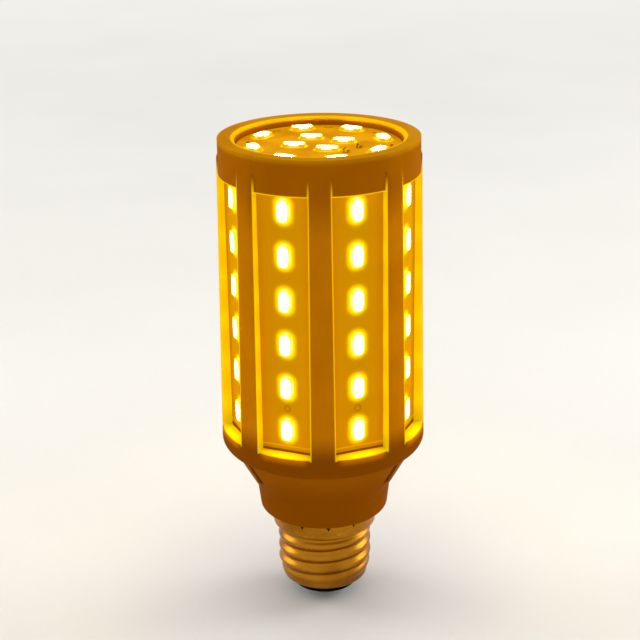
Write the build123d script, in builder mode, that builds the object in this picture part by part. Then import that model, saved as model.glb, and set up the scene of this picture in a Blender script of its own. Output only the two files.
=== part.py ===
from build123d import *
from math import cos, radians, sin, tan
import os

os.makedirs("parts", exist_ok=True)

# A colour changing LED bulb, cap down, in millimetres. Z is the bulb's axis, and the tip of the
# centre contact lies at the origin. Eight LED strips stand in a moulded cage around the axis, a
# round LED board closes its top, and a cup below it holds the driver and the screw cap.

# Screw cap, to the 27 mm Edison size
cap_height = 27.0
thread_crest_diameter = 26.2
thread_crest_width = 0.7
thread_foot_width = 2.5
thread_depth = 1.1
thread_pitch = 3.62
thread_run_out = 0.9
thread_lip_gap = 1.7
shell_wall = 0.4
collar_diameter = 28.8
collar_height = 4.6
shoulder_height = 1.8
shell_lip_height = 6.4
shell_lip_run = 1.5
crimp_count = 12
crimp_width = 1.3
crimp_height = 1.4
crimp_depth = 0.25
crimp_turn = 4.5

# Centre contact and its insulator
contact_diameter = 10.0
contact_height = 0.9
contact_edge_bevel = 0.4
contact_stem_diameter = 2.5
contact_stem_height = 8.2
insulator_height = 7.4
insulator_waist_diameter = 17.6
insulator_waist_height = 2.7

# Cup between the cap and the cage
cup_height = 19.2
cup_wall = 1.8
cup_foot_diameter = 35.4
cup_foot_radius = 1.4
cup_waist_diameter = 37.2
cup_waist_height = 7.4
cup_waist_radius = 2.6
cup_top_step = 2.75
cup_flange_thickness = 1.6
neck_length = 4.2
neck_wall = 2.4
spigot_height = 4.0
spigot_wall = 1.4
vent_width = 2.4
vent_height = 6.4
vent_drop = 1.2
vent_angle = 36.0
tongue_width = 9.0
tongue_height = 5.0

# Cage, with a window for each strip
side_count = 8
cage_height = 86.9
cage_foot_diameter = 56.1
cage_foot_radius = 3.0
cage_draft = 0.74
rim_diameter = 53.4
rim_edge_radius = 1.8
rim_bevel = 0.7
rim_gap = 0.3
rim_recess = 2.25
deck_seat = 1.3
deck_thickness = 2.4
window_sill_height = 6.7
window_sill_bevel = 0.6
window_lintel_depth = 9.5
pillar_top_depth = 5.0
pillar_fade = 0.8

# LED strips, and the lips and grooves of the cage that hold them
strip_width = 14.7
strip_thickness = 1.2
strip_recess = 3.95
strip_side_gap = 0.15
strip_face_gap = 0.35
strip_lip_width = 1.0
strip_lip_thickness = 1.5
strip_top_margin = 8.0
leds_per_strip = 6
led_pitch = 12.0

# LED packages, each with a pocket for its phosphor
led_length = 5.7
led_width = 3.0
led_height = 0.9
led_corner_cut = 0.5
led_pocket_rim = 0.35
led_pocket_depth = 0.15

# Round LED board on the top
top_board_diameter = 43.8
top_board_thickness = 1.2
top_board_turn = -7.7
outer_led_count = 8
outer_led_radius = 17.6
inner_led_count = 4
inner_led_radius = 6.8
inner_led_turn = -72.6
board_slot_radius = 19.0
board_slot_length = 2.6
board_slot_width = 0.8

# Driver board and the components on it
driver_board_thickness = 1.6
driver_board_height = 33.0
driver_board_foot = 11.5
driver_tail_width = 20.6
driver_ear_width = 0.9
driver_stop_height = 1.0
can_diameter = 8.0
can_length = 13.0
can_offset = -5.6
film_block = (10.0, 5.0, 9.0)
film_block_offset = 5.6
rectifier_block = (6.4, 2.4, 5.0)
rectifier_offset = -6.0
chip_block = (5.0, 1.6, 4.0)
chip_offset = 5.4
inductor_diameter = 8.0
inductor_length = 6.6
inductor_cheek = 1.2
inductor_core_diameter = 5.4
fuse_diameter = 2.4
fuse_length = 6.2
fuse_offset = 5.0

# Wires and solder
wire_diameter = 1.2
wire_hole_diameter = 1.5
wire_bend_radius = 10.0
neutral_wire_turn = 30.0
lead_bend_radius = 1.6
solder_diameter = 2.1
solder_height = 1.3
supply_hole_radius = 11.3
supply_hole_angles = (-52.0, -23.0)
supply_wire_spread = 3.0

fit_gap = 0.1

# Radii and heights that follow from the sizes above
cup_foot = cap_height
cage_foot = cup_foot + cup_height
cage_top = cage_foot + cage_height
top_board_face = cage_top - rim_recess
deck_top = top_board_face - top_board_thickness
deck_foot = deck_top - deck_thickness
window_sill = cage_foot + window_sill_height
window_lintel = cage_top - window_lintel_depth
pillar_top = cage_top - pillar_top_depth

crest_radius = thread_crest_diameter / 2
root_radius = crest_radius - thread_depth
shell_bore_radius = root_radius - shell_wall
collar_radius = collar_diameter / 2
collar_foot = cup_foot - collar_height
shoulder_foot = collar_foot - shoulder_height
thread_top = shoulder_foot + thread_run_out
thread_height = thread_top - shell_lip_height - thread_lip_gap
neck_foot = cup_foot - neck_length
neck_radius = collar_radius - shell_wall
neck_bore_radius = neck_radius - neck_wall

cage_foot_half = cage_foot_diameter / 2
strip_face_radius = cage_foot_half - strip_recess
strip_back_radius = strip_face_radius - strip_thickness
cage_bore_radius = strip_back_radius - strip_lip_thickness
rim_radius = rim_diameter / 2
rim_opening_radius = top_board_diameter / 2 + rim_gap
deck_opening_radius = top_board_diameter / 2 - deck_seat
window_width = strip_width + 2 * strip_side_gap
pillar_top_radius = cage_foot_half - (pillar_top - cage_foot) * tan(radians(cage_draft))
spigot_radius = cage_bore_radius - fit_gap
strip_foot = cage_foot + tongue_height
strip_length = deck_foot - strip_foot
first_led = deck_foot - strip_top_margin


def side_plane(side):
    """Upright plane through the axis of the bulb that faces outward on one side of the cage."""
    angle = radians(-90 + (side - 0.5) * 360 / side_count)
    return Plane(origin=(0, 0, 0), x_dir=(-sin(angle), cos(angle), 0), z_dir=(cos(angle), sin(angle), 0))


def facing_plane(turn):
    """Upright plane through the axis that faces outward at an angle from +X."""
    angle = radians(turn)
    return Plane(origin=(0, 0, 0), x_dir=(-sin(angle), cos(angle), 0), z_dir=(cos(angle), sin(angle), 0))


def led_package():
    """Sketch of one LED package, with the corner cut that marks its polarity."""
    half_width = led_width / 2
    half_length = led_length / 2
    with BuildSketch() as outline:
        with BuildLine():
            Polyline(
                (-half_width, -half_length),
                (half_width - led_corner_cut, -half_length),
                (half_width, -half_length + led_corner_cut),
                (half_width, half_length),
                (-half_width, half_length),
                close=True,
            )
        make_face()
    return outline.sketch


# Screw shell: a thin tube with a collar, a rolled lip below and a knuckle thread around it
with BuildPart() as screw_shell:
    with BuildSketch(facing_plane(180)):
        with BuildLine():
            Polyline(
                (neck_radius, cup_foot),
                (collar_radius, cup_foot),
                (collar_radius, collar_foot),
                (root_radius, shoulder_foot),
                (root_radius, shell_lip_height),
                (root_radius - shell_lip_run, shell_lip_height - shell_lip_run),
                (root_radius - shell_lip_run - shell_wall, shell_lip_height - shell_lip_run),
                (shell_bore_radius, shell_lip_height),
                (shell_bore_radius, shoulder_foot + shell_wall / 2),
                (neck_radius, collar_foot + shell_wall / 2),
                close=True,
            )
        make_face()
    revolve(axis=Axis.Z)
    # Ridge that winds down from the shoulder, its broad foot sunk into the wall. Its top end
    # lies a quarter turn from the seam of the tube.
    with BuildLine() as thread_path:
        Helix(thread_pitch, thread_height, root_radius, center=(0, 0, thread_top), direction=(0, 0, -1))
    with BuildSketch(Plane(origin=thread_path.line @ 0, x_dir=(-1, 0, 0), z_dir=thread_path.line % 0)):
        with BuildLine():
            Polyline(
                (-shell_wall / 2, -thread_foot_width / 2),
                (thread_depth, -thread_crest_width / 2),
                (thread_depth, thread_crest_width / 2),
                (-shell_wall / 2, thread_foot_width / 2),
                close=True,
            )
        make_face()
    sweep(path=thread_path.line, is_frenet=True)
    # Punch marks that crimp the collar onto the neck of the cup
    for mark in range(crimp_count):
        turn = -90 + crimp_turn + mark * 360 / crimp_count
        with BuildSketch(facing_plane(turn).offset(collar_radius - crimp_depth)):
            with BuildLine():
                Polyline(
                    (-crimp_width / 2, cup_foot),
                    (crimp_width / 2, cup_foot),
                    (0, cup_foot - crimp_height),
                    close=True,
                )
            make_face()
    extrude(amount=2 * crimp_depth, mode=Mode.SUBTRACT)
screw_shell.part.label = "screw_shell"
export_step(screw_shell.part, "parts/screw_shell.step")

# Insulator: a black cone that fills the foot of the shell and carries the contact
insulator_radius = shell_bore_radius - fit_gap
with BuildPart() as cap_insulator:
    with BuildSketch(Plane.XZ):
        with BuildLine():
            lip_bore_radius = root_radius - shell_lip_run - shell_wall - fit_gap
            Polyline(
                (contact_stem_diameter / 2 + fit_gap / 2, contact_height),
                (contact_diameter / 2 + fit_gap, contact_height),
                (insulator_waist_diameter / 2, insulator_waist_height),
                (lip_bore_radius, shell_lip_height - shell_lip_run),
                (insulator_radius, shell_lip_height + fit_gap / 2),
                (insulator_radius, insulator_height),
                (contact_stem_diameter / 2 + fit_gap / 2, insulator_height),
                close=True,
            )
        make_face()
    revolve(axis=Axis.Z)
cap_insulator.part.label = "cap_insulator"
export_step(cap_insulator.part, "parts/cap_insulator.step")

# Centre contact: a disc with a bevelled edge and a stem that runs up through the insulator
with BuildPart() as centre_contact:
    with BuildSketch(Plane.XZ):
        with BuildLine():
            contact_radius = contact_diameter / 2
            Polyline(
                (0, 0),
                (contact_radius - contact_edge_bevel, 0),
                (contact_radius, contact_edge_bevel),
                (contact_radius, contact_height),
                (contact_stem_diameter / 2, contact_height),
                (contact_stem_diameter / 2, contact_stem_height),
                (0, contact_stem_height),
                close=True,
            )
        make_face()
    revolve(axis=Axis.Z)
centre_contact.part.label = "centre_contact"
export_step(centre_contact.part, "parts/centre_contact.step")

# Cup: a turned shell with a neck for the screw cap and a flared top that meets the cage
cup_foot_half = cup_foot_diameter / 2
cup_waist_half = cup_waist_diameter / 2
cup_top_half = cage_foot_half - cup_top_step
cup_waist = cup_foot + cup_waist_height
flare_slope = (cup_top_half - cup_waist_half) / (cage_foot - cup_waist)
flange_foot = cage_foot - cup_flange_thickness
flare_wall = cup_wall * (1 + flare_slope**2) ** 0.5
with BuildPart() as base_cup:
    with BuildSketch(Plane.XZ) as cup_profile:
        with BuildLine():
            Polyline(
                (neck_bore_radius, neck_foot),
                (neck_radius, neck_foot),
                (neck_radius, cup_foot),
                (cup_foot_half, cup_foot),
                (cup_waist_half, cup_waist),
                (cup_top_half, cage_foot),
                (spigot_radius, cage_foot),
                (spigot_radius, cage_foot + spigot_height),
                (spigot_radius - spigot_wall, cage_foot + spigot_height),
                (spigot_radius - spigot_wall, flange_foot),
                (cup_top_half - flare_wall - cup_flange_thickness * flare_slope, flange_foot),
                (cup_waist_half - cup_wall, cup_waist),
                (cup_foot_half - cup_wall, cup_foot + cup_wall),
                (neck_bore_radius, cup_foot + cup_wall),
                close=True,
            )
        make_face()
        corners = cup_profile.vertices()
        fillet(corners.filter_by_position(Axis.X, cup_foot_half, cup_foot_half), cup_foot_radius)
        fillet(corners.filter_by_position(Axis.X, cup_waist_half, cup_waist_half), cup_waist_radius)
    revolve(axis=Axis.Z)
    # Vents through the flare, two on the left and two on the right
    for turn in (-vent_angle, vent_angle, 180 - vent_angle, 180 + vent_angle):
        with BuildSketch(facing_plane(turn).offset(neck_radius)):
            with Locations((0, cage_foot - vent_drop - vent_height / 2)):
                Rectangle(vent_width, vent_height)
    extrude(amount=cup_top_half, mode=Mode.SUBTRACT)
    # Tongues that reach up the grooves of the cage and carry the strips
    for side in range(side_count):
        with BuildSketch(side_plane(side).offset(strip_back_radius + fit_gap)):
            with Locations((0, cage_foot + tongue_height / 2)):
                Rectangle(tongue_width, tongue_height)
    extrude(amount=strip_thickness - 2 * fit_gap)
    # Grooves down the neck for the ears of the driver board, closed by a stop at their foot
    groove_foot = neck_foot + driver_stop_height
    groove_height = cup_foot + cup_wall - groove_foot
    with BuildSketch(Plane.XY.offset(groove_foot)):
        Rectangle(2 * (neck_bore_radius + driver_ear_width), driver_board_thickness + 2 * fit_gap)
    extrude(amount=groove_height, mode=Mode.SUBTRACT)
base_cup.part.label = "base_cup"
export_step(base_cup.part, "parts/base_cup.step")

# Tops of the pillars, which stand proud of the band under the rim and fade into it
lintel_radius = cage_foot_half - (window_lintel - cage_foot) * tan(radians(cage_draft))
with BuildPart() as pillar_tops:
    with BuildSketch(Plane.XZ):
        with BuildLine():
            Polyline(
                (rim_opening_radius, window_lintel),
                (lintel_radius, window_lintel),
                (pillar_top_radius, pillar_top),
                (rim_radius, pillar_top + pillar_fade),
                (rim_opening_radius, pillar_top + pillar_fade),
                close=True,
            )
        make_face()
    revolve(axis=Axis.Z)
    for side in range(side_count):
        with BuildSketch(side_plane(side)):
            with Locations((0, (window_lintel + cage_top) / 2)):
                Rectangle(window_width, cage_top - window_lintel)
    extrude(amount=cage_foot_half, mode=Mode.SUBTRACT)

# Cage: one moulding, drafted outside, with a rim on top, a deck inside it and eight windows
with BuildPart() as window_cage:
    with BuildSketch(Plane.XZ) as cage_profile:
        with BuildLine():
            Polyline(
                (cage_bore_radius, cage_foot),
                (cage_foot_half, cage_foot),
                (lintel_radius, window_lintel),
                (rim_radius, window_lintel),
                (rim_radius, cage_top),
                (rim_opening_radius + rim_bevel, cage_top),
                (rim_opening_radius, cage_top - rim_bevel),
                (rim_opening_radius, deck_top),
                (deck_opening_radius, deck_top),
                (deck_opening_radius, deck_foot),
                (cage_bore_radius, deck_foot),
                close=True,
            )
        make_face()
        corners = cage_profile.vertices()
        fillet(corners.group_by(Axis.Y)[0].sort_by(Axis.X)[-1], cage_foot_radius)
        fillet(corners.group_by(Axis.Y)[-1].sort_by(Axis.X)[-1], rim_edge_radius)
    revolve(axis=Axis.Z)
    # Windows, one in front of each strip
    groove_radius = strip_face_radius + strip_face_gap
    for side in range(side_count):
        with BuildSketch(side_plane(side).offset(groove_radius)):
            with Locations((0, (window_sill + window_lintel) / 2)):
                Rectangle(window_width, window_lintel - window_sill)
    extrude(amount=cage_foot_half, mode=Mode.SUBTRACT)
    sill_edges = window_cage.edges().filter_by(GeomType.CIRCLE)
    chamfer(sill_edges.filter_by_position(Axis.Z, window_sill, window_sill), window_sill_bevel)
    # Grooves that the strips slide in, and the gaps between the lips behind them
    for side in range(side_count):
        with BuildSketch(side_plane(side).offset(strip_back_radius)):
            with Locations((0, (cage_foot + deck_foot) / 2)):
                Rectangle(window_width, deck_foot - cage_foot)
    extrude(amount=groove_radius - strip_back_radius, mode=Mode.SUBTRACT)
    for side in range(side_count):
        with BuildSketch(side_plane(side).offset(cage_bore_radius / 2)):
            with Locations((0, (cage_foot + deck_foot) / 2)):
                Rectangle(strip_width - 2 * strip_lip_width, deck_foot - cage_foot)
    extrude(amount=strip_back_radius - cage_bore_radius / 2, mode=Mode.SUBTRACT)
    add(pillar_tops.part)
window_cage.part.label = "window_cage"
export_step(window_cage.part, "parts/window_cage.step")

# LED strips, each with its row of LEDs
for side in range(side_count):
    number = side + 1
    with BuildPart() as side_led_board:
        with BuildSketch(side_plane(side).offset(strip_back_radius)):
            with Locations((0, strip_foot + strip_length / 2)):
                Rectangle(strip_width, strip_length)
        extrude(amount=strip_thickness)
    side_led_board.part.label = f"side_led_board_{number}"
    export_step(side_led_board.part, f"parts/side_led_board_{number}.step")

    with BuildPart() as side_leds:
        rows = [(0, first_led - row * led_pitch) for row in range(leds_per_strip)]
        with BuildSketch(side_plane(side).offset(strip_face_radius)):
            with Locations(*rows):
                add(led_package())
        extrude(amount=led_height)
        with BuildSketch(side_plane(side).offset(strip_face_radius + led_height)):
            with Locations(*rows):
                Rectangle(led_width - 2 * led_pocket_rim, led_length - 2 * led_pocket_rim)
        extrude(amount=-led_pocket_depth, mode=Mode.SUBTRACT)
    side_leds.part.label = f"side_leds_{number}"
    export_step(side_leds.part, f"parts/side_leds_{number}.step")

# Round LED board, with a ring of slots and two holes for the supply wires
supply_holes = [
    (supply_hole_radius * cos(radians(turn)), supply_hole_radius * sin(radians(turn)))
    for turn in supply_hole_angles
]
with BuildPart() as top_led_board:
    with BuildSketch(Plane.XY.offset(deck_top)):
        Circle(top_board_diameter / 2)
        with PolarLocations(board_slot_radius, outer_led_count, start_angle=-90 + top_board_turn):
            Rectangle(board_slot_width, board_slot_length, mode=Mode.SUBTRACT)
        with Locations(*supply_holes):
            Circle(wire_hole_diameter / 2, mode=Mode.SUBTRACT)
    extrude(amount=top_board_thickness)
top_led_board.part.label = "top_led_board"
export_step(top_led_board.part, "parts/top_led_board.step")

# LEDs on the round board: an outer ring that follows its edge, and a square in the middle
outer_turn = -90 + top_board_turn + 180 / outer_led_count
with BuildPart() as top_outer_leds:
    with BuildSketch(Plane.XY.offset(top_board_face)):
        with PolarLocations(outer_led_radius, outer_led_count, start_angle=outer_turn):
            add(led_package())
    extrude(amount=led_height)
    with BuildSketch(Plane.XY.offset(top_board_face + led_height)):
        with PolarLocations(outer_led_radius, outer_led_count, start_angle=outer_turn):
            Rectangle(led_width - 2 * led_pocket_rim, led_length - 2 * led_pocket_rim)
    extrude(amount=-led_pocket_depth, mode=Mode.SUBTRACT)
top_outer_leds.part.label = "top_outer_leds"
export_step(top_outer_leds.part, "parts/top_outer_leds.step")

inner_places = [
    Location(
        (
            inner_led_radius * cos(radians(inner_led_turn + corner * 360 / inner_led_count)),
            inner_led_radius * sin(radians(inner_led_turn + corner * 360 / inner_led_count)),
        ),
        90 + top_board_turn,
    )
    for corner in range(inner_led_count)
]
with BuildPart() as top_inner_leds:
    with BuildSketch(Plane.XY.offset(top_board_face)):
        with Locations(*inner_places):
            add(led_package())
    extrude(amount=led_height)
    with BuildSketch(Plane.XY.offset(top_board_face + led_height)):
        with Locations(*inner_places):
            Rectangle(led_width - 2 * led_pocket_rim, led_length - 2 * led_pocket_rim)
    extrude(amount=-led_pocket_depth, mode=Mode.SUBTRACT)
top_inner_leds.part.label = "top_inner_leds"
export_step(top_inner_leds.part, "parts/top_inner_leds.step")

# Driver board: it hangs by two ears in the grooves of the neck, with its tail in the screw shell
ear_foot = groove_foot
driver_board_head = driver_board_foot + driver_board_height
board_half = driver_board_thickness / 2
ear_half = neck_bore_radius + driver_ear_width - fit_gap
with BuildPart() as driver_board:
    with BuildSketch(Plane.XZ):
        with BuildLine():
            Polyline(
                (-driver_tail_width / 2, driver_board_foot),
                (driver_tail_width / 2, driver_board_foot),
                (driver_tail_width / 2, ear_foot),
                (ear_half, ear_foot),
                (ear_half, driver_board_head),
                (-ear_half, driver_board_head),
                (-ear_half, ear_foot),
                (-driver_tail_width / 2, ear_foot),
                close=True,
            )
        make_face()
    extrude(amount=board_half, both=True)
driver_board.part.label = "driver_board"
export_step(driver_board.part, "parts/driver_board.step")

# Components on the back of the driver board, above the floor of the cup
component_foot = cup_foot + cup_wall + fit_gap
with BuildPart() as electrolytic_capacitor:
    with BuildSketch(Plane.XY.offset(component_foot)):
        with Locations((can_offset, board_half + can_diameter / 2)):
            Circle(can_diameter / 2)
    extrude(amount=can_length)
electrolytic_capacitor.part.label = "electrolytic_capacitor"
export_step(electrolytic_capacitor.part, "parts/electrolytic_capacitor.step")

with BuildPart() as film_capacitor:
    with BuildSketch(Plane.XY.offset(component_foot)):
        with Locations((film_block_offset, board_half + film_block[1] / 2)):
            Rectangle(film_block[0], film_block[1])
    extrude(amount=film_block[2])
    fillet(film_capacitor.edges().group_by(Axis.Z)[-1], film_block[1] / 8)
film_capacitor.part.label = "film_capacitor"
export_step(film_capacitor.part, "parts/film_capacitor.step")

# Components on the front of the driver board
with BuildPart() as bridge_rectifier:
    with BuildSketch(Plane.XY.offset(component_foot)):
        with Locations((rectifier_offset, -board_half - rectifier_block[1] / 2)):
            Rectangle(rectifier_block[0], rectifier_block[1])
    extrude(amount=rectifier_block[2])
    chamfer(bridge_rectifier.edges().group_by(Axis.Y)[0], rectifier_block[1] / 6)
bridge_rectifier.part.label = "bridge_rectifier"
export_step(bridge_rectifier.part, "parts/bridge_rectifier.step")

with BuildPart() as driver_chip:
    with BuildSketch(Plane.XY.offset(component_foot)):
        with Locations((chip_offset, -board_half - chip_block[1] / 2)):
            Rectangle(chip_block[0], chip_block[1])
    extrude(amount=chip_block[2])
    chamfer(driver_chip.edges().group_by(Axis.Y)[0], chip_block[1] / 6)
driver_chip.part.label = "driver_chip"
export_step(driver_chip.part, "parts/driver_chip.step")

# Inductor and fuse resistor on the tail of the driver board, inside the screw shell
tail_middle = (driver_board_foot + neck_foot) / 2
with BuildPart() as inductor:
    with BuildSketch(Plane.YZ):
        with BuildLine():
            cheek_far = board_half + inductor_length
            Polyline(
                (board_half, tail_middle),
                (board_half, tail_middle + inductor_diameter / 2),
                (board_half + inductor_cheek, tail_middle + inductor_diameter / 2),
                (board_half + inductor_cheek, tail_middle + inductor_core_diameter / 2),
                (cheek_far - inductor_cheek, tail_middle + inductor_core_diameter / 2),
                (cheek_far - inductor_cheek, tail_middle + inductor_diameter / 2),
                (cheek_far, tail_middle + inductor_diameter / 2),
                (cheek_far, tail_middle),
                close=True,
            )
        make_face()
    revolve(axis=Axis((0, 0, tail_middle), (0, 1, 0)))
inductor.part.label = "inductor"
export_step(inductor.part, "parts/inductor.step")

with BuildPart() as fuse_resistor:
    with BuildSketch(Plane.XY.offset(tail_middle - fuse_length / 2)):
        with Locations((fuse_offset, -board_half - fuse_diameter / 2)):
            Circle(fuse_diameter / 2)
    extrude(amount=fuse_length)
    chamfer(fuse_resistor.edges().filter_by(GeomType.CIRCLE), fuse_diameter / 6)
fuse_resistor.part.label = "fuse_resistor"
export_step(fuse_resistor.part, "parts/fuse_resistor.step")

# Wires: each lies on the front of the driver board at one end
wire_radius = wire_diameter / 2
wire_lie = -board_half - wire_radius
with BuildPart() as live_wire:
    with BuildLine() as live_route:
        FilletPolyline(
            (0, 0, contact_stem_height),
            (0, 0, contact_stem_height + wire_radius),
            (0, wire_lie, driver_board_foot - wire_radius),
            (0, wire_lie, tail_middle),
            radius=wire_radius,
        )
    with BuildSketch(Plane(origin=live_route.line @ 0, z_dir=live_route.line % 0)):
        Circle(wire_radius)
    sweep(path=live_route.line)
live_wire.part.label = "live_wire"
export_step(live_wire.part, "parts/live_wire.step")

shell_side = (shell_bore_radius - wire_radius - fit_gap) * cos(radians(neutral_wire_turn))
shell_front = (shell_bore_radius - wire_radius - fit_gap) * sin(radians(neutral_wire_turn))
with BuildPart() as neutral_wire:
    with BuildLine() as neutral_route:
        FilletPolyline(
            (rectifier_offset, wire_lie, driver_board_foot + wire_diameter),
            (rectifier_offset, wire_lie, driver_board_foot + 3 * wire_diameter),
            (-shell_side, -shell_front, shoulder_foot),
            radius=lead_bend_radius,
        )
    with BuildSketch(Plane(origin=neutral_route.line @ 0, z_dir=neutral_route.line % 0)):
        Circle(wire_radius)
    sweep(path=neutral_route.line)
neutral_wire.part.label = "neutral_wire"
export_step(neutral_wire.part, "parts/neutral_wire.step")

for number, (start, hole) in enumerate(zip((-1, 1), supply_holes), 1):
    with BuildPart() as supply_wire:
        wire_start = start * supply_wire_spread
        with BuildLine() as supply_route:
            FilletPolyline(
                (wire_start, wire_lie, driver_board_head - 4 * wire_diameter),
                (wire_start, wire_lie, driver_board_head + wire_bend_radius),
                (hole[0], hole[1], deck_foot - 3 * wire_bend_radius),
                (hole[0], hole[1], top_board_face),
                radius=wire_bend_radius,
            )
        with BuildSketch(Plane(origin=supply_route.line @ 0, z_dir=supply_route.line % 0)):
            Circle(wire_radius)
        sweep(path=supply_route.line)
    supply_wire.part.label = f"supply_wire_{number}"
    export_step(supply_wire.part, f"parts/supply_wire_{number}.step")

# Solder domes over the supply wires on the round board
with BuildPart() as supply_solder:
    with Locations(*[(hole[0], hole[1], top_board_face) for hole in supply_holes]):
        Cone(
            solder_diameter / 2,
            solder_diameter / 4,
            solder_height,
            align=(Align.CENTER, Align.CENTER, Align.MIN),
        )
supply_solder.part.label = "supply_solder"
export_step(supply_solder.part, "parts/supply_solder.step")
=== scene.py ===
import math

import bmesh
import bpy
from mathutils import Matrix, Vector


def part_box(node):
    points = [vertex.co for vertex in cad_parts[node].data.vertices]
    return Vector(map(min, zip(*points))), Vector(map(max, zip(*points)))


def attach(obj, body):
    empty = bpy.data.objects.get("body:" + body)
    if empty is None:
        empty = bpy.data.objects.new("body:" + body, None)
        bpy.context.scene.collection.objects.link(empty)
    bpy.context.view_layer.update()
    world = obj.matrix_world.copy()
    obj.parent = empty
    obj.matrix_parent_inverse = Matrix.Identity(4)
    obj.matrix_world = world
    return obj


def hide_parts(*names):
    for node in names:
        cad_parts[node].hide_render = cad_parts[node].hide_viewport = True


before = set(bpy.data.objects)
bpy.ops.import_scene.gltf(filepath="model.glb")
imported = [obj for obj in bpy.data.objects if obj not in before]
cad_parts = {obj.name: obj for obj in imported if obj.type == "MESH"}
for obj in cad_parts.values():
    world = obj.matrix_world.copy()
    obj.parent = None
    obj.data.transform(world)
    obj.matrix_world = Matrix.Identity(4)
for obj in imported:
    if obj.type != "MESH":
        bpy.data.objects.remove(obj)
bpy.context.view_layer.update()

# A colour changing LED bulb, lit amber. Metres, Z up, with the tip of the centre contact at the
# origin. Heights and radii that the frame gives are read from it.
MM = 0.001

# Places read from the frame
board_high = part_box("side_led_board_1")[1]
top_board_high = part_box("top_led_board")[1]
top_led_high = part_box("top_outer_leds")[1]
shell_low, shell_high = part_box("screw_shell")
cage_low, cage_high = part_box("window_cage")

# LED places and sizes
side_count = 8
leds_per_strip = 6
strip_top_margin = 8.0 * MM
strip_face_radius = 24.1 * MM
strip_width = 14.7 * MM
led_pitch = 12.0 * MM
first_led = board_high.z - strip_top_margin
led_length = 5.7 * MM
led_width = 3.0 * MM
led_corner = 1.35 * MM
led_height = top_led_high.z - top_board_high.z
bright_half_across = 1.6 * MM
bright_half_along = 2.85 * MM
oval_power = 2.4
package_bevel = 0.12 * MM
lens_inset = 0.34 * MM
lens_edge_depth = 0.15 * MM
lens_crown = 0.13 * MM
top_board_turn = -7.7
outer_led_count = 8
outer_led_radius = 17.6 * MM
outer_led_turn = -90 + top_board_turn + 180 / outer_led_count
inner_led_count = 4
inner_led_radius = 6.8 * MM
inner_led_turn = -72.6
inner_led_lie = 90 + top_board_turn

# Cage, cup and cap
cage_foot_radius = 28.05 * MM
cage_draft = 0.74
cage_bevel = 0.3 * MM
window_sill = cage_low.z + 6.7 * MM
window_lintel = cage_high.z - 9.5 * MM
pillar_top = cage_high.z - 5.0 * MM
window_half = 7.5 * MM
rim_opening_radius = 22.2 * MM
supply_hole_radius = 11.3 * MM
supply_hole_angles = (-52.0, -23.0)
shell_root_radius = 12.0 * MM
shell_wall = 0.4 * MM
thread_depth = 1.1 * MM
thread_pitch = 3.62 * MM
thread_top = 21.5 * MM
thread_foot = 8.1 * MM
thread_start = 180
thread_crest_power = 0.85
shell_lip_height = 6.4 * MM
shell_lip_run = 1.5 * MM
shoulder_foot = 20.6 * MM
collar_foot = 22.4 * MM
collar_radius = 14.4 * MM
crimp_count = 12
crimp_turn = -85.5
crimp_top = 25.9 * MM
crimp_height = 1.4 * MM
crimp_half = 0.75 * MM
crimp_depth = 0.25 * MM

# Marks on the strips: how far the pale line lies above the sill, and the size of the round mark
foot_line_rise = 1.6 * MM
round_mark_radius = 0.8 * MM

# A painted line of light is full within the second distance from its middle and gone at the first
line_end = 0.4 * MM
line_full = 0.1 * MM

# Gloss of plastics, kept very low so that the white studio doesn't pale the amber
plastic_gloss = 0.002

# Strength of the light that leaves the LEDs: their phosphor, its yellow corners and the white body
phosphor_low = 52.0
phosphor_high = 60.0
phosphor_corner = 0.9
body_white = 2.2


def linear(red, green, blue):
    """Scene colour of an sRGB colour given in steps of 255."""
    return tuple((c / 255) ** 2.2 for c in (red, green, blue)) + (1.0,)


# Colours of the bulb as it looks in its own amber light, with that light and its shade painted in
# PILLAR, BAND, RIM and FOOT are the cage's one plastic at levels of painted light and shade
PILLAR = linear(204, 122, 2)
BAND = linear(170, 97, 1)
RIM = linear(196, 128, 5)
FOOT = linear(134, 72, 1)
DEEP = linear(132, 72, 1)
SILL_SHINE = linear(220, 122, 3)
PALE = linear(226, 158, 12)
# CUP and CUP_TOP are the cage's plastic in painted shade below the cage
CUP = linear(140, 76, 1)
CUP_TOP = linear(152, 86, 1)
BOARD = linear(230, 160, 3)
# The darker board colour serves both the board's grain and the painted shade at its edges
BOARD_GRAIN_AND_SHADE = linear(218, 146, 3)
ROUND_BOARD = linear(232, 160, 5)
ROUND_BOARD_GRAIN = linear(206, 134, 3)
HALO = linear(255, 214, 8)
GLOW = linear(255, 226, 12)
HOT = linear(255, 246, 190)
LAMP_LIGHT = (1.0, 0.78, 0.3, 1.0)
AMBER_GLOSS = (1.0, 0.62, 0.06, 1.0)

# Colours of the metal of the cap and of the studio
BRASS = linear(172, 114, 30)
BRASS_DULL = linear(138, 86, 16)
PUNCH_SHADE = linear(40, 18, 1)
BACKGROUND = linear(244, 242, 238)


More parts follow.
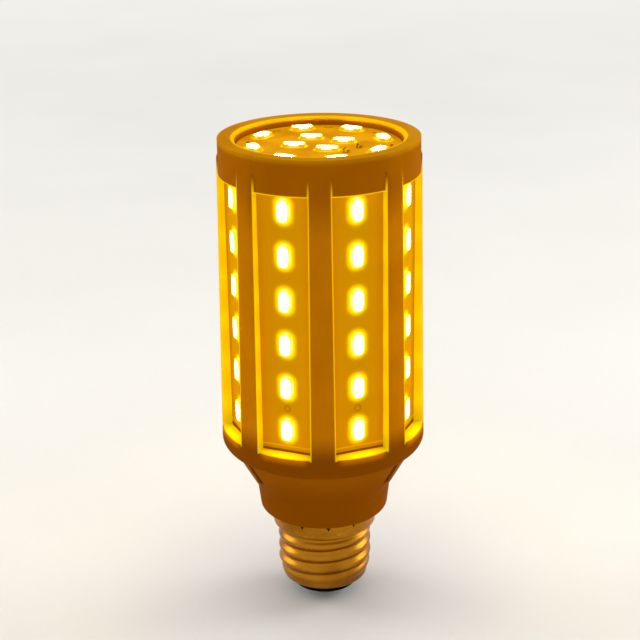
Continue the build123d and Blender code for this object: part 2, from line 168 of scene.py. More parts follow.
class Shade:
    """One material's node tree, with short calls for the nodes that it needs."""

    def __init__(self, name, color, roughness, metallic=0.0):
        self.material = bpy.data.materials.new(name)
        self.material.use_nodes = True
        self.tree = self.material.node_tree
        self.shader = self.tree.nodes["Principled BSDF"]
        self.set("Base Color", color)
        self.set("Roughness", roughness)
        self.set("Metallic", metallic)
        if metallic == 0.0:
            # Painted reflection: the faint gloss is tinted amber, the colour of the light that it reflects
            self.set("Specular Tint", AMBER_GLOSS)
            self.set("Specular IOR Level", plastic_gloss)
        self.place = self.node("ShaderNodeTexCoord").outputs["Object"]

    def set(self, socket, value):
        """Gives one of the shader's own sockets a value, or links it to another socket."""
        self.put(self.shader.inputs[socket], value)

    def put(self, socket, value):
        """Gives any socket a value, or links it to another socket."""
        if isinstance(value, bpy.types.NodeSocket):
            self.tree.links.new(value, socket)
        else:
            socket.default_value = value

    def node(self, kind, *inputs, **settings):
        """New node with the given settings and inputs. An input of None is left as it is."""
        made = self.tree.nodes.new(kind)
        for key, value in settings.items():
            setattr(made, key, value)
        for socket, value in zip(made.inputs, inputs):
            if value is not None:
                self.put(socket, value)
        return made

    def base_color(self):
        """What the shader's base colour is linked to."""
        return self.shader.inputs["Base Color"].links[0].from_socket

    def math(self, operation, *values):
        """Result of one operation on one or two values."""
        return self.node("ShaderNodeMath", *values, operation=operation).outputs[0]

    def product(self, first, *others):
        """All the values multiplied, from the left."""
        result = first
        for value in others:
            result = self.math("MULTIPLY", result, value)
        return result

    def distance(self, value, middle):
        """How far a value lies from the middle, to either side."""
        return self.math("ABSOLUTE", self.math("SUBTRACT", value, middle))

    def noise(self, scale, detail=3.0, stretch=(1, 1, 1)):
        """Cloudy pattern from 0 to 1, finer with a larger scale."""
        mapped = self.node("ShaderNodeMapping", self.place, None, None, stretch)
        made = self.node("ShaderNodeTexNoise", mapped.outputs[0])
        made.inputs["Scale"].default_value = scale
        made.inputs["Detail"].default_value = detail
        return made.outputs[0]

    def fade(self, value, start, end, low=0.0, high=1.0):
        """low where value is at start, high where it is at end, with a smooth change between."""
        made = self.node("ShaderNodeMapRange", value, interpolation_type="SMOOTHSTEP")
        for key, number in (("From Min", start), ("From Max", end), ("To Min", low), ("To Max", high)):
            made.inputs[key].default_value = number
        return made.outputs[0]

    def mix(self, share, first, second):
        """The first colour where share is 0, the second where it is 1."""
        made = self.node("ShaderNodeMix", data_type="RGBA")
        self.put(made.inputs["Factor"], share)
        self.put(made.inputs[6], first)
        self.put(made.inputs[7], second)
        return made.outputs[2]

    def axes(self):
        """Place on the bulb along x, y and z, in metres."""
        parts = self.node("ShaderNodeSeparateXYZ", self.place)
        return parts.outputs[0], parts.outputs[1], parts.outputs[2]

    def bump(self, height, strength, distance):
        """Fine relief on the surface."""
        made = self.node("ShaderNodeBump")
        made.inputs["Strength"].default_value = strength
        made.inputs["Distance"].default_value = distance
        self.put(made.inputs["Height"], height)
        self.set("Normal", made.outputs[0])

    def polar(self, count, turn):
        """Distance from the bulb's axis, and the angle from the middle of the nearest of count
        equal sectors, the first of which is centred on turn degrees."""
        x, y, _ = self.axes()
        angle = self.math("ARCTAN2", y, x)
        sector = 2 * math.pi / count
        shifted = self.math("ADD", angle, 4 * math.pi + sector / 2 - math.radians(turn))
        local = self.math("SUBTRACT", self.math("MODULO", shifted, sector), sector / 2)
        squares = self.math("ADD", self.product(x, x), self.product(y, y))
        return self.math("SQRT", squares), local

    def strip_polar(self):
        """Distance from the bulb's axis, and the angle from the middle of the nearest strip."""
        return self.polar(side_count, -90 + 180 / side_count)

    def row_offset(self):
        """Height above the nearest LED of a strip, below zero under it."""
        rise = self.math("ADD", self.axes()[2], led_pitch * (leds_per_strip + 0.5) - first_led)
        return self.math("SUBTRACT", self.math("MODULO", rise, led_pitch), led_pitch / 2)

    def clearance(self, across, along, half_across, half_along, corner):
        """Distance outside an LED with rounded corners, in metres; below zero inside it."""
        spare = []
        for value, half in ((across, half_across), (along, half_along)):
            beyond = self.math("SUBTRACT", self.math("ABSOLUTE", value), half - corner)
            spare.append(self.math("MAXIMUM", beyond, 0.0))
        a, b = spare
        squares = self.math("ADD", self.product(a, a), self.product(b, b))
        return self.math("SUBTRACT", self.math("SQRT", squares), corner)

    def oval(self, across, along, half_across, half_along):
        """1 on an oval round an LED, less inside it and more outside it."""
        powers = []
        for value, half in ((across, half_across), (along, half_along)):
            share = self.math("DIVIDE", self.math("ABSOLUTE", value), half)
            powers.append(self.math("POWER", share, oval_power))
        return self.math("ADD", *powers)

    def strip_offsets(self):
        """Offset across and along the nearest LED of the nearest strip, in metres."""
        radius, local = self.strip_polar()
        return [(self.product(radius, self.math("SINE", local)), self.row_offset())]

    def ring_offsets(self):
        """Offsets across and along the nearest outer LED of the round board and each inner one."""
        radius, local = self.polar(outer_led_count, outer_led_turn)
        along = self.product(radius, self.math("SINE", local))
        out = self.product(radius, self.math("COSINE", local))
        offsets = [(self.math("SUBTRACT", out, outer_led_radius), along)]
        lie = math.radians(inner_led_lie)
        x, y, _ = self.axes()
        u = self.math("ADD", self.product(x, math.cos(lie)), self.product(y, math.sin(lie)))
        v = self.math("SUBTRACT", self.product(y, math.cos(lie)), self.product(x, math.sin(lie)))
        for corner in range(inner_led_count):
            turn = math.radians(inner_led_turn + corner * 360 / inner_led_count) - lie
            across = self.math("SUBTRACT", u, inner_led_radius * math.cos(turn))
            along = self.math("SUBTRACT", v, inner_led_radius * math.sin(turn))
            offsets.append((across, along))
        return offsets

    def nearest_led(self, on_strips, measure, *sizes):
        """Least of a measure over the LEDs: its clearance or its oval."""
        nearest = None
        for across, along in self.strip_offsets() if on_strips else self.ring_offsets():
            one = measure(across, along, *sizes)
            nearest = one if nearest is None else self.math("MINIMUM", nearest, one)
        return nearest

    def led_clearance(self, on_strips):
        """Distance outside the nearest LED, in metres."""
        return self.nearest_led(on_strips, self.clearance, led_width / 2, led_length / 2, led_corner)

    def led_oval(self, on_strips):
        """Oval value of the nearest LED: its white face ends at about 1."""
        return self.nearest_led(on_strips, self.oval, bright_half_across, bright_half_along)

    def glow(self, on_strips, base, reach, strength, edge):
        """Light on a board round an LED: strongest against it, down to the bare board at reach."""
        hot = self.fade(self.led_oval(on_strips), 1.6, 1.0, high=edge)
        halo = self.fade(self.led_clearance(on_strips), reach, 0.3 * MM)
        self.set("Base Color", self.mix(halo, base, HALO))
        self.set("Emission Color", self.mix(hot, GLOW, HOT))
        near = self.product(self.math("POWER", halo, 2.0), strength)
        self.set("Emission Strength", self.math("ADD", near, hot))


def moulded_plastic(name, color, levels):
    """Smooth moulded plastic with a faint grain. Each level is a start and an end height and the colour,
    with its light and shade painted in, that it changes to between them."""
    shade = Shade(name, color, roughness=0.5)
    z = shade.axes()[2]
    base = color
    for start, end, reached in levels:
        base = shade.mix(shade.fade(z, start, end), base, reached)
    cloud = shade.fade(shade.noise(scale=55, detail=4.0), 0.35, 0.7, high=0.25)
    shade.set("Base Color", shade.mix(cloud, base, DEEP))
    shade.set("Roughness", shade.fade(shade.noise(scale=160, detail=2.0), 0.3, 0.7, low=0.42, high=0.56))
    shade.bump(shade.noise(scale=900, detail=2.0), strength=0.12, distance=0.02 * MM)
    return shade


def sill_light(shade, z, beside, out):
    """Light on the sills: strongest in mid-window and at their outer edge."""
    middle = shade.fade(beside, window_half, 1.5 * MM, low=0.62, high=1.05)
    edge = shade.fade(z, window_sill - 0.6 * MM, window_sill - 0.15 * MM, low=0.6)
    depth = shade.fade(out, strip_face_radius + 0.3 * MM, strip_face_radius + 2.6 * MM, low=0.6)
    return middle, edge, depth


def opening_light(shade, z, radius, local, beside, above_sill):
    """Light of the LEDs on the walls and sills of the window openings."""
    draft = math.tan(math.radians(cage_draft))
    outside = shade.math("SUBTRACT", cage_foot_radius + cage_low.z * draft, shade.product(z, draft))
    inside = shade.fade(shade.math("SUBTRACT", outside, radius), 0.02 * MM, 0.35 * MM)
    below_lintel = shade.fade(z, window_lintel + 0.3 * MM, window_lintel + 0.05 * MM)
    near_window = shade.fade(beside, window_half + 0.6 * MM, window_half + 0.3 * MM)
    in_opening = shade.product(above_sill, below_lintel, near_window, inside)
    off_led = shade.math("ABSOLUTE", shade.row_offset())
    walls = shade.product(in_opening, shade.fade(off_led, 0.0, led_pitch / 2, low=0.66, high=0.5))
    on_sill = shade.fade(z, window_sill + 0.9 * MM, window_sill + 0.3 * MM)
    out = shade.product(radius, shade.math("COSINE", local))
    sill = shade.product(on_sill, *sill_light(shade, z, beside, out))
    off_sill = shade.math("SUBTRACT", 1.0, on_sill)
    return shade.math("ADD", shade.product(walls, off_sill), shade.product(in_opening, sill))


def edge_light(shade, z, beside, above_sill):
    """Painted light: bright lines up the edges of the windows, fading above them, and along their lintels.
    """
    side_line = shade.fade(shade.distance(beside, window_half), line_end, line_full)
    fading_up = shade.fade(z, pillar_top + 0.2 * MM, window_lintel, high=0.55)
    edges = shade.product(above_sill, fading_up, side_line)
    lintel = shade.fade(shade.distance(z, window_lintel), line_end, line_full, high=0.7)
    in_width = shade.fade(beside, window_half + 0.3 * MM, window_half)
    return shade.math("MAXIMUM", edges, shade.product(lintel, in_width))


def rim_light(shade, z, radius):
    """Light inside the rim: on its lip, and on the wall above the round board."""
    off_lip = shade.distance(radius, rim_opening_radius + 0.55 * MM)
    lip_height = shade.fade(z, cage_high.z - 0.8 * MM, cage_high.z - 0.4 * MM, high=0.4)
    lip = shade.product(shade.fade(off_lip, 0.75 * MM, 0.25 * MM), lip_height)
    on_wall = shade.fade(radius, rim_opening_radius + 0.5 * MM, rim_opening_radius + 0.2 * MM)
    wall_height = shade.fade(z, top_board_high.z + 1.1 * MM, cage_high.z - 0.5 * MM, high=0.3)
    return shade.math("MAXIMUM", lip, shade.product(on_wall, wall_height))


def sill_shine(shade, z, beside):
    """Share of a paler colour on the foot band, just under each window: painted light below the lit sills.
    """
    near_sill = shade.fade(z, window_sill - 2.6 * MM, window_sill - 0.6 * MM, high=0.75)
    below_sill = shade.fade(z, window_sill + 0.3 * MM, window_sill - 0.3 * MM)
    in_width = shade.fade(beside, window_half, window_half - 2.5 * MM)
    return shade.product(near_sill, below_sill, in_width)


def cage_moulding():
    """Cage plastic, with the light of the LEDs painted on as a glow on the walls and edges of its windows
    and inside its rim.
    """
    # Painted light and shade by height: dark on the foot band, lit on the pillars, darker on the band
    # under the rim, paler on the rim
    shade = moulded_plastic("cage_moulding", FOOT, [
        (window_sill - 1 * MM, window_sill + 7 * MM, PILLAR),
        (window_lintel - 12 * MM, window_lintel + 2 * MM, BAND),
        (cage_high.z - 1.6 * MM, cage_high.z - 0.2 * MM, RIM),
    ])
    z = shade.axes()[2]
    radius, local = shade.strip_polar()
    beside = shade.math("ABSOLUTE", shade.product(radius, shade.math("SINE", local)))
    above_sill = shade.fade(z, window_sill - 0.75 * MM, window_sill - 0.5 * MM)
    openings = opening_light(shade, z, radius, local, beside, above_sill)
    edges = edge_light(shade, z, beside, above_sill)
    windows = shade.math("MAXIMUM", openings, edges)
    # Painted light: paler plastic just under the middle of each window
    shade.set("Base Color", shade.mix(sill_shine(shade, z, beside), shade.base_color(), SILL_SHINE))
    # Painted light: the glow of the LEDs on the windows and inside the rim
    shade.set("Emission Color", GLOW)
    shade.set("Emission Strength", shade.math("MAXIMUM", windows, rim_light(shade, z, radius)))
    return shade.material


def cup_moulding():
    """Cup plastic in painted shade, darker than the cage's, and a little paler towards the cage."""
    top = (cage_low.z - 10 * MM, cage_low.z - 1 * MM, CUP_TOP)
    return moulded_plastic("cup_moulding", CUP, [top]).material


def strip_board():
    """Solder mask of a strip: painted light round each LED, painted shade darkening its edges, a pale line
    near its foot and a painted shadow line at the sill, and a small round mark between its two lowest
    LEDs."""
    shade = Shade("strip_board_mask", BOARD, roughness=0.45)
    z = shade.axes()[2]
    radius, local = shade.strip_polar()
    across = shade.product(radius, shade.math("SINE", local))
    beside = shade.math("ABSOLUTE", across)
    grain = shade.noise(scale=90, stretch=(1, 1, 0.15))
    base = shade.mix(shade.fade(grain, 0.3, 0.7, high=0.4), BOARD, BOARD_GRAIN_AND_SHADE)
    # Painted shade: the board darkens towards its edges, away from its LEDs
    edge = shade.fade(beside, strip_width * 0.3, strip_width * 0.47, high=0.7)
    base = shade.mix(edge, base, BOARD_GRAIN_AND_SHADE)
    off_line = shade.distance(z, window_sill + foot_line_rise)
    base = shade.mix(shade.fade(off_line, 0.3 * MM, 0.1 * MM, high=0.6), base, HALO)
    # Painted shadow: a dark line along the board's foot, where it meets the sill
    sill_shadow = shade.fade(z, window_sill + 0.65 * MM, window_sill + 0.4 * MM, high=0.85)
    base = shade.mix(sill_shadow, base, DEEP)
    off_mark = shade.math("SUBTRACT", z, first_led - (leds_per_strip - 1.5) * led_pitch)
    mark = shade.clearance(across, off_mark, round_mark_radius, round_mark_radius, round_mark_radius)
    ring = shade.fade(shade.math("ABSOLUTE", mark), 0.35 * MM, 0.1 * MM, high=0.35)
    shade.glow(True, shade.mix(ring, base, DEEP), reach=2.2 * MM, strength=0.42, edge=0.8)
    shade.bump(grain, strength=0.1, distance=0.05 * MM)
    return shade.material


def round_board():
    """Solder mask of the round board, with painted light round each of its LEDs."""
    shade = Shade("round_board_mask", ROUND_BOARD, roughness=0.42)
    grain = shade.noise(scale=120)
    plain = shade.mix(shade.fade(grain, 0.35, 0.7), ROUND_BOARD, ROUND_BOARD_GRAIN)
    shade.glow(False, plain, reach=1.3 * MM, strength=0.12, edge=0.3)
    shade.bump(grain, strength=0.08, distance=0.05 * MM)
    return shade.material


def plated_metal(name, color, dull, roughness):
    """Thin plated sheet with fine scratches round it and duller patches."""
    shade = Shade(name, color, roughness, metallic=1.0)
    patches = shade.fade(shade.noise(scale=70, detail=4.0), 0.4, 0.7)
    shade.set("Base Color", shade.mix(patches, color, dull))
    fine = shade.noise(scale=60, detail=2.0, stretch=(1, 1, 30))
    shade.set("Roughness", shade.fade(fine, 0.3, 0.7, low=roughness * 0.8, high=roughness * 1.3))
    shade.bump(fine, strength=0.08, distance=0.02 * MM)
    return shade


def shell_metal():
    """Plated sheet of the screw shell, with painted shade in the punch marks of its collar."""
    shade = plated_metal("plated_brass", BRASS, BRASS_DULL, roughness=0.3)
    radius, local = shade.polar(crimp_count, crimp_turn)
    beside = shade.math("ABSOLUTE", shade.product(radius, local))
    below_top = shade.math("SUBTRACT", crimp_top, shade.axes()[2])
    sunk = shade.math("SUBTRACT", 1.0, shade.math("DIVIDE", below_top, crimp_height))
    inside = shade.math("SUBTRACT", shade.product(sunk, crimp_half), beside)
    # Painted shade: dark in the sunk punch marks
    marks = shade.product(shade.fade(inside, 0.0, 0.15 * MM), shade.math("LESS_THAN", sunk, 1.0))
    shade.set("Base Color", shade.mix(marks, shade.base_color(), PUNCH_SHADE))
    return shade.material


def plain_finish(name, color, other, roughness, scale, metallic=0.0, relief=0.15):
    """Finish of a small part: two close colours in a grain of the given scale, and a fine relief."""
    shade = Shade(name, color, roughness, metallic)
    grain = shade.noise(scale)
    shade.set("Base Color", shade.mix(shade.fade(grain, 0.35, 0.65), color, other))
    shade.bump(grain, relief, distance=0.03 * MM)
    return shade.material


def lit_package(name, on_strips, foot_glow, side_start, side_full):
    """Body of an LED: translucent plastic that glows yellow, and white in an oval round its lens.
    Up its sides the white starts and is full at the given shares of the LED's height."""
    shade = Shade(name, PALE, roughness=0.5)
    rise = shade.node("ShaderNodeAttribute", attribute_name="rise").outputs["Fac"]
    grain = shade.fade(shade.noise(scale=2200, detail=1.0), 0.3, 0.7, low=-0.03, high=0.03)
    lifted = shade.math("ADD", rise, grain)
    rounded = shade.fade(shade.led_oval(on_strips), 1.15, 0.85)
    hot = shade.product(shade.fade(lifted, side_start, side_full), rounded)
    shade.set("Base Color", shade.mix(rise, PALE, HALO))
    shade.set("Emission Color", shade.mix(hot, GLOW, HOT))
    shade.set("Emission Strength", shade.fade(hot, 0.0, 1.0, low=foot_glow, high=body_white))
    return shade.material


def lit_lens(name, on_strips):
    """Phosphor of an LED, which lights the bulb: white in an oval, and yellow in its corners."""
    shade = Shade(name, HALO, roughness=0.6)
    full = shade.fade(shade.noise(scale=1500, detail=1.0), 0.3, 0.7, phosphor_low, phosphor_high)
    share = shade.fade(shade.led_oval(on_strips), 1.06, 0.84)
    shade.set("Emission Color", shade.mix(share, GLOW, LAMP_LIGHT))
    bright = shade.product(full, shade.math("POWER", share, 3.0))
    shade.set("Emission Strength", shade.math("ADD", bright, phosphor_corner))
    return shade.material


def show(name, mesh, material):
    """Adds a mesh to the bulb as a piece with one material."""
    piece = bpy.data.objects.new(name, mesh)
    bpy.context.scene.collection.objects.link(piece)
    mesh.materials.clear()
    mesh.materials.append(material)
    for polygon in mesh.polygons:
        polygon.use_smooth = True
    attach(piece, "root")
    return piece


def rounded_copy(node, name, material, width, segments=2):
    """Stands for a CAD node with the same form, its sharp edges rounded by a small bevel."""
    weld_distance = 0.5e-6
    flat_angle = math.radians(0.5)
    sharp_angle = math.radians(30)
    form = bmesh.new()
    form.from_mesh(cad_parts[node].data)
    bmesh.ops.remove_doubles(form, verts=form.verts, dist=weld_distance)
    bmesh.ops.dissolve_limit(form, angle_limit=flat_angle, verts=form.verts, edges=form.edges)
    mesh = bpy.data.meshes.new(name)
    form.to_mesh(mesh)
    form.free()
    piece = show(name, mesh, material)
    bevel = piece.modifiers.new("edges", "BEVEL")
    bevel.width = width
    bevel.segments = segments
    bevel.limit_method = "ANGLE"
    bevel.angle_limit = sharp_angle
    bevel.harden_normals = True
    bevel.use_clamp_overlap = True
    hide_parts(node)
    return piece


def paint_node(node, material):
    """Gives a CAD node that stays a material of its own."""
    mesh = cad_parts[node].data
    mesh.materials.clear()
    mesh.materials.append(material)


# Cage and cup
rounded_copy("window_cage", "cage", cage_moulding(), cage_bevel, segments=3)
paint_node("base_cup", cup_moulding())

# LED boards
strip_material = strip_board()
for number in range(1, side_count + 1):
    paint_node(f"side_led_board_{number}", strip_material)
paint_node("top_led_board", round_board())

# LEDs
strip_package = lit_package("strip_led_body", True, foot_glow=0.95, side_start=0.6, side_full=0.95)
ring_package = lit_package("ring_led_body", False, foot_glow=0.22, side_start=0.2, side_full=0.6)
strip_lens = lit_lens("strip_led_phosphor", on_strips=True)
ring_lens = lit_lens("ring_led_phosphor", on_strips=False)


def add_rise(piece, height_of):
    """Writes how far up its LED each vertex lies, from 0 on the board to 1 on the top."""
    rise = piece.data.attributes.new("rise", "FLOAT", "POINT")
    for vertex, value in zip(piece.data.vertices, rise.data):
        value.value = min(max(height_of(vertex.co) / led_height, 0), 1)


def led_place(angle, radius, height, lie):
    """Matrix of an LED on the round board: x across it, y along it, z out of the board."""
    turn = math.radians(angle)
    spot = Matrix.Translation((radius * math.cos(turn), radius * math.sin(turn), height))
    return spot @ Matrix.Rotation(math.radians(lie), 4, "Z")


def strip_places(side):
    """Matrices of a strip's LEDs: x across the strip, y up it, z outward."""
    turn = math.radians(-90 + (side - 0.5) * 360 / side_count)
    out = Vector((math.cos(turn), math.sin(turn), 0))
    axes = Matrix((Vector((-out.y, out.x, 0)), Vector((0, 0, 1)), out)).transposed().to_4x4()
    rows = [first_led - row * led_pitch for row in range(leds_per_strip)]
    return [Matrix.Translation(out * strip_face_radius + Vector((0, 0, z))) @ axes for z in rows]


def lens_mesh(places):
    """Phosphor of each LED: a low dome that fills the pocket in its package."""
    form = bmesh.new()
    columns = 6
    rows = 10
    half_across = led_width / 2 - lens_inset
    half_along = led_length / 2 - lens_inset
    for place in places:
        grid = []
        for row in range(rows + 1):
            v = 2 * row / rows - 1
            line = []
            for column in range(columns + 1):
                u = 2 * column / columns - 1
                crown = (1 - u**4) * (1 - v**6)
                depth = lens_edge_depth - lens_crown * crown
                spot = Vector((u * half_across, v * half_along, led_height - depth))
                line.append(form.verts.new(place @ spot))
            grid.append(line)
        for low, high in zip(grid, grid[1:]):
            for a, b, c, d in zip(low, low[1:], high[1:], high):
                form.faces.new((a, b, c, d))
    mesh = bpy.data.meshes.new("lenses")
    form.to_mesh(mesh)
    form.free()
    return mesh


for side in range(side_count):
    number = side + 1
    places = strip_places(side)
    out = places[0].to_3x3() @ Vector((0, 0, 1))
    name = f"strip_led_bodies_{number}"
    bodies = rounded_copy(f"side_leds_{number}", name, strip_package, package_bevel)
    add_rise(bodies, lambda spot, out=out: spot.dot(out) - strip_face_radius)
    show(f"strip_led_lenses_{number}", lens_mesh(places), strip_lens)

outer_turns = [outer_led_turn + k * 360 / outer_led_count for k in range(outer_led_count)]
inner_turns = [inner_led_turn + k * 360 / inner_led_count for k in range(inner_led_count)]
board_face = top_board_high.z
outer_places = [led_place(turn, outer_led_radius, board_face, turn) for turn in outer_turns]
inner_places = [led_place(turn, inner_led_radius, board_face, inner_led_lie) for turn in inner_turns]
for node, name, places in (
    ("top_outer_leds", "outer_led", outer_places),
    ("top_inner_leds", "inner_led", inner_places),
):
    bodies = rounded_copy(node, f"{name}_bodies", ring_package, package_bevel)
    add_rise(bodies, lambda spot: spot.z - board_face)
    show(f"{name}_lenses", lens_mesh(places), ring_lens)

# Cap
brass = shell_metal()
shell_columns = 216
shell_rows = 96


def row_height(share):
    """Height of a row of the shell, at a share of the way from its lip to the top of its collar."""
    return shell_low.z + share * (shell_high.z - shell_low.z)


def shell_radius(z, angle):
    """Outer radius of the pressed shell: lip, knuckle thread, shoulder and crimped collar."""
    if z < shell_lip_height:
        drop = (shell_lip_height - z) / shell_lip_run
        return shell_root_radius - shell_lip_run * (1 - math.sqrt(max(1 - drop**2, 0)))
    run_in = (z - thread_foot + thread_pitch / 2) / thread_pitch
    run_out = (thread_top - z) / (0.5 * thread_pitch)
    ramp = max(min(run_in, run_out, 1), 0)
    phase = (z - thread_top) / thread_pitch - (angle - math.radians(thread_start)) / (2 * math.pi)
    wave = 0.5 + 0.5 * math.cos(2 * math.pi * phase)
    radius = shell_root_radius + thread_depth * ramp * wave**thread_crest_power
    climb = max(min((z - shoulder_foot) / (collar_foot - shoulder_foot), 1), 0)
    smooth = climb * climb * (3 - 2 * climb)
    radius = max(radius, shell_root_radius + (collar_radius - shell_root_radius) * smooth)
    sector = 2 * math.pi / crimp_count
    off = (angle - math.radians(crimp_turn) + sector / 2) % sector - sector / 2
    sunk = 1 - (crimp_top - z) / crimp_height
    if not 0 < sunk <= 1:
        return radius
    return radius - crimp_depth * max(0, 1 - abs(off) * collar_radius / (crimp_half * sunk))


def shell_mesh():
    """Pressed shell with an outer and an inner skin, joined at the lip and at the collar's rim."""
    form = bmesh.new()
    heights = [row_height(row / shell_rows) for row in range(shell_rows + 1)]
    rings = []
    for inward, levels in ((0.0, heights), (shell_wall, reversed(heights))):
        for z in levels:
            ring = []
            for column in range(shell_columns):
                angle = 2 * math.pi * column / shell_columns
                radius = shell_radius(z, angle) - inward
                ring.append(form.verts.new((radius * math.cos(angle), radius * math.sin(angle), z)))
            rings.append(ring)
    for low, high in zip(rings, rings[1:] + rings[:1]):
        for column in range(shell_columns):
            after = (column + 1) % shell_columns
            form.faces.new((low[column], low[after], high[after], high[column]))
    mesh = bpy.data.meshes.new("pressed_shell")
    form.to_mesh(mesh)
    form.free()
    return mesh


def solder_mesh():
    """Round solder domes over the ends of the supply wires. The profile gives the radii and heights
    of a dome in millimetres."""
    form = bmesh.new()
    profile = [
        (1.05, 0.0), (1.04, 0.2), (0.98, 0.45), (0.86, 0.7),
        (0.68, 0.92), (0.46, 1.1), (0.24, 1.24), (0.08, 1.3),
    ]
    columns = 28
    for turn in supply_hole_angles:
        angle = math.radians(turn)
        out = Vector((math.cos(angle), math.sin(angle), 0))
        middle = out * supply_hole_radius + Vector((0, 0, board_face))
        rings = []
        for radius, rise in profile:
            ring = []
            for column in range(columns):
                around = 2 * math.pi * column / columns
                spot = Vector((radius * math.cos(around), radius * math.sin(around), rise)) * MM
                ring.append(form.verts.new(middle + spot))
            rings.append(ring)
        for low, high in zip(rings, rings[1:]):
            for column in range(columns):
                after = (column + 1) % columns
                form.faces.new((low[column], low[after], high[after], high[column]))
        form.faces.new(rings[-1])
        form.faces.new(list(reversed(rings[0])))
    mesh = bpy.data.meshes.new("solder_domes")
    form.to_mesh(mesh)
    form.free()
    return mesh


# The solder's two colours are painted light and shade: tin lit gold by the LEDs and dark brown in shade,
# in a fine grain
solder_light_and_shade = plain_finish("solder", linear(250, 200, 20), linear(122, 62, 2), 0.35, 1300, relief=0.5)
solder_domes = show("solder_domes", solder_mesh(), solder_light_and_shade)
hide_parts("supply_solder")

pressed_shell = show("pressed_shell", shell_mesh(), brass)
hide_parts("screw_shell")
tinned = plain_finish("contact_solder", linear(196, 190, 176), linear(168, 160, 146), 0.35, 300, 1.0)
paint_node("centre_contact", tinned)
paint_node("cap_insulator", plain_finish("black_glass", linear(26, 24, 24), linear(14, 13, 13), 0.2, 90))

# Driver board, its components and the wires
finishes = {
    "driver_board": plain_finish("laminate", linear(196, 150, 60), linear(176, 128, 44), 0.5, 150),
    "electrolytic_capacitor": plain_finish("can_sleeve", linear(34, 32, 40), linear(24, 22, 30), 0.3, 60),
    "film_capacitor": plain_finish("film_case", linear(150, 58, 20), linear(128, 44, 14), 0.35, 80),
    "bridge_rectifier": plain_finish("rectifier_epoxy", linear(30, 30, 30), linear(20, 20, 20), 0.45, 200),
    "driver_chip": plain_finish("chip_epoxy", linear(24, 24, 26), linear(16, 16, 18), 0.45, 260),
    "inductor": plain_finish("ferrite", linear(62, 58, 54), linear(44, 42, 40), 0.5, 140),
    "fuse_resistor": plain_finish("resistor_coat", linear(120, 160, 120), linear(96, 136, 100), 0.4, 120),
    "live_wire": plain_finish("red_lead", linear(176, 40, 18), linear(150, 30, 14), 0.35, 90),
    "neutral_wire": plain_finish("black_lead", linear(30, 28, 28), linear(20, 18, 18), 0.35, 90),
    "supply_wire_1": plain_finish("red_supply", linear(176, 40, 18), linear(150, 30, 14), 0.35, 110),
    "supply_wire_2": plain_finish("black_supply", linear(30, 28, 28), linear(20, 18, 18), 0.35, 110),
}
for node, finish in finishes.items():
    paint_node(node, finish)

# Floor and backdrop: one pale sheet, lifted far from the bulb to the world's colour for the camera
floor_half = 1.6
lift_start = 0.25
lift_full = 1.3
lift_strength = 0.34
floor_finish = Shade("pale_floor", linear(236, 234, 228), roughness=0.8)
floor_cloud = floor_finish.noise(scale=9, detail=2.0)
floor_finish.set("Base Color", floor_finish.mix(floor_cloud, linear(240, 238, 232), linear(230, 228, 222)))
floor_away = floor_finish.polar(1, 0)[0]
floor_seen = floor_finish.node("ShaderNodeLightPath").outputs["Is Camera Ray"]
floor_lift = floor_finish.fade(floor_away, lift_start, lift_full, high=lift_strength)
floor_finish.set("Emission Color", BACKGROUND)
floor_finish.set("Emission Strength", floor_finish.product(floor_lift, floor_seen))
floor_mesh = bpy.data.meshes.new("floor")
floor_form = bmesh.new()
bmesh.ops.create_grid(floor_form, x_segments=8, y_segments=8, size=floor_half)
floor_form.to_mesh(floor_mesh)
floor_form.free()
floor_mesh.materials.append(floor_finish.material)
floor = bpy.data.objects.new("floor", floor_mesh)
bpy.context.scene.collection.objects.link(floor)

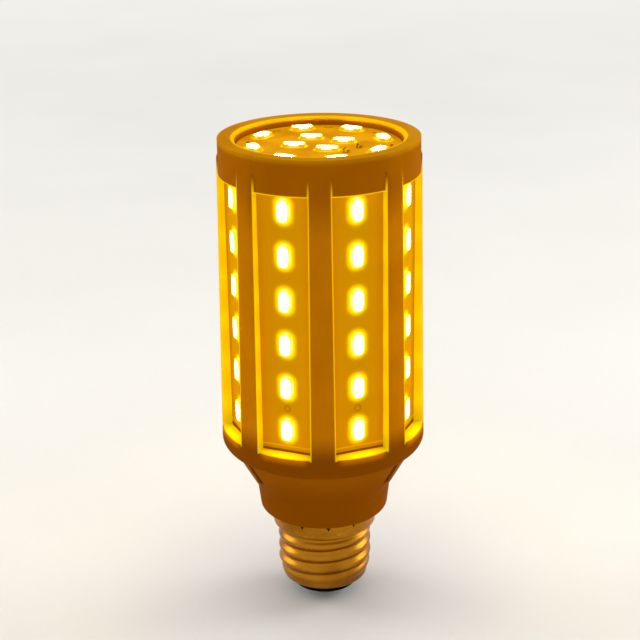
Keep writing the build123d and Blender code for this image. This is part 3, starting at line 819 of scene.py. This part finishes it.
# World: soft white light, and the pale background where the camera and gloss see it
world_strength = 0.66
world = bpy.data.worlds.new("studio")
bpy.context.scene.world = world
world.use_nodes = True
tree = world.node_tree
background = tree.nodes["Background"]
background.inputs["Color"].default_value = (1, 1, 1, 1)
background.inputs["Strength"].default_value = world_strength
seen = tree.nodes.new("ShaderNodeBackground")
seen.inputs["Color"].default_value = BACKGROUND
seen.inputs["Strength"].default_value = 1.0
path = tree.nodes.new("ShaderNodeLightPath")
either = tree.nodes.new("ShaderNodeMath")
either.operation = "MAXIMUM"
tree.links.new(path.outputs["Is Camera Ray"], either.inputs[0])
tree.links.new(path.outputs["Is Glossy Ray"], either.inputs[1])
choice = tree.nodes.new("ShaderNodeMixShader")
tree.links.new(either.outputs[0], choice.inputs[0])
tree.links.new(background.outputs[0], choice.inputs[1])
tree.links.new(seen.outputs[0], choice.inputs[2])
tree.links.new(choice.outputs[0], tree.nodes["World Output"].inputs["Surface"])


def softbox(name, place, size, power):
    """Square area lamp that faces the middle of the bulb."""
    data = bpy.data.lights.new(name, "AREA")
    data.size = size
    data.energy = power
    lamp = bpy.data.objects.new(name, data)
    bpy.context.scene.collection.objects.link(lamp)
    lamp.location = place
    aim = Vector((0, 0, cage_high.z / 2)) - lamp.location
    lamp.rotation_mode = "QUATERNION"
    lamp.rotation_quaternion = aim.to_track_quat("-Z", "Y")


softbox("top_light", place=(0, 0.05, 0.75), size=0.5, power=1.2)
softbox("left_light", place=(-0.7, 0.25, 0.35), size=0.4, power=1.7)
softbox("right_light", place=(0.7, 0.25, 0.35), size=0.4, power=2.5)

# Camera: where the photograph was taken from. The picture is square, and its width and the focal
# length are in pixels of the photograph.
picture_width = 640
focal_length = 1571.6
camera_place = (0.74 * MM, -401.6 * MM, 229.3 * MM)
pitch = math.radians(20.17)
yaw = -0.0029
roll = -0.0145
camera_data = bpy.data.cameras.new("camera")
camera_data.sensor_width = 36.0
camera_data.lens = camera_data.sensor_width * focal_length / picture_width
camera_data.clip_start = 0.01
camera = bpy.data.objects.new("camera", camera_data)
bpy.context.scene.collection.objects.link(camera)
forward = Vector((math.sin(yaw) * math.cos(pitch), math.cos(yaw) * math.cos(pitch), -math.sin(pitch)))
level = Vector((math.cos(yaw), -math.sin(yaw), 0))
upright = level.cross(forward)
right = math.cos(roll) * level + math.sin(roll) * upright
above = math.cos(roll) * upright - math.sin(roll) * level
turned = Matrix((right, above, -forward)).transposed().to_4x4()
camera.matrix_world = Matrix.Translation(camera_place) @ turned
bpy.context.scene.camera = camera

bpy.context.scene.view_settings.view_transform = "Standard"
